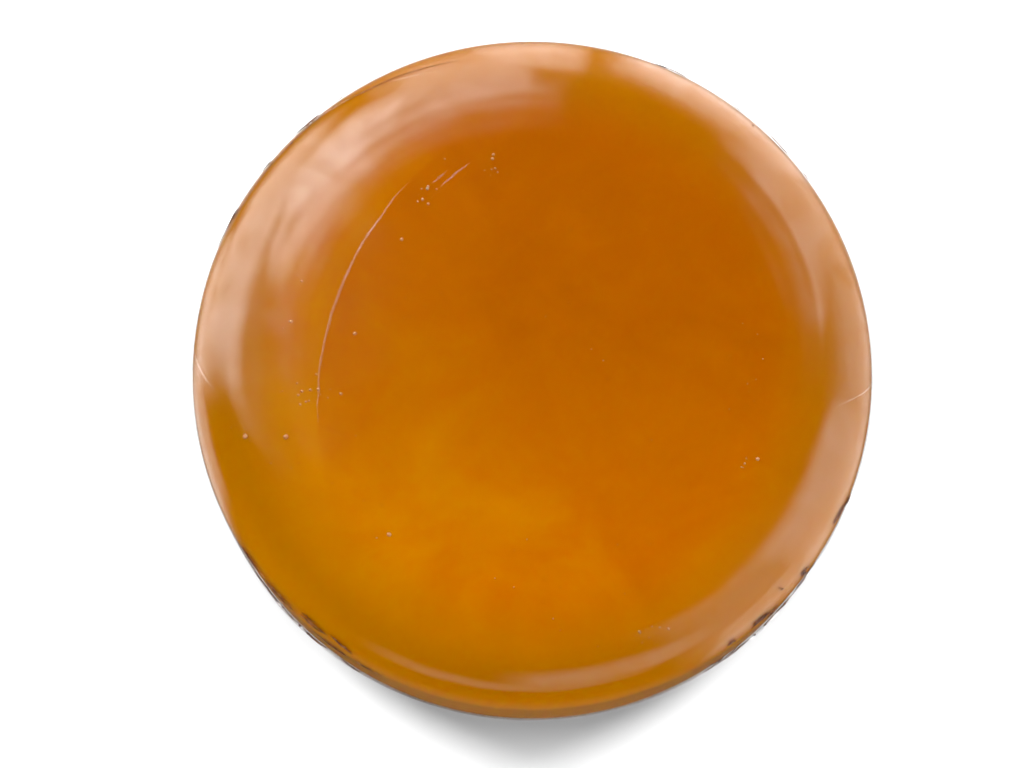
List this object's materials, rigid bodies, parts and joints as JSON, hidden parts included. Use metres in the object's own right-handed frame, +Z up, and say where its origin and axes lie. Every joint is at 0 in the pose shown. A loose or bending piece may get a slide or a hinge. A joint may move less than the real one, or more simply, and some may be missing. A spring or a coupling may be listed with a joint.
{
  "type": "shaving soap puck",
  "caption": "Round translucent amber shaving soap puck with a softly rounded rim, in a tight clear shrink wrap with a trim seal round its side.",
  "frame": {"origin": "centre of the flat resting face, on the underside of the wrap", "axes": "+Z up along the puck's axis, out of the front face; the wrap's gathered corners lie between the X and Y axes"},
  "size_m": [0.0624, 0.0624, 0.0215],
  "materials": {
    "soap": "translucent amber cast glycerine soap, smooth and lightly mottled",
    "film": "clear glossy shrink film, with fine stretch lines along the rim",
    "seal": "melted film bead, brownish and crinkled"
  },
  "bodies": {
    "back_wrap": {"wrap_back": "film", "trim_seal": "seal"},
    "puck": {"soap_puck": "soap"},
    "front_wrap": {"wrap_front": "film"}
  },
  "joints": [
    {"name": "puck_lift", "type": "slide", "parent": "back_wrap", "child": "puck", "axis": [0, 0, 1], "range_m": [0, 0.03]},
    {"name": "front_wrap_lift", "type": "slide", "parent": "puck", "child": "front_wrap", "axis": [0, 0, 1], "range_m": [0, 0.03]}
  ]
}
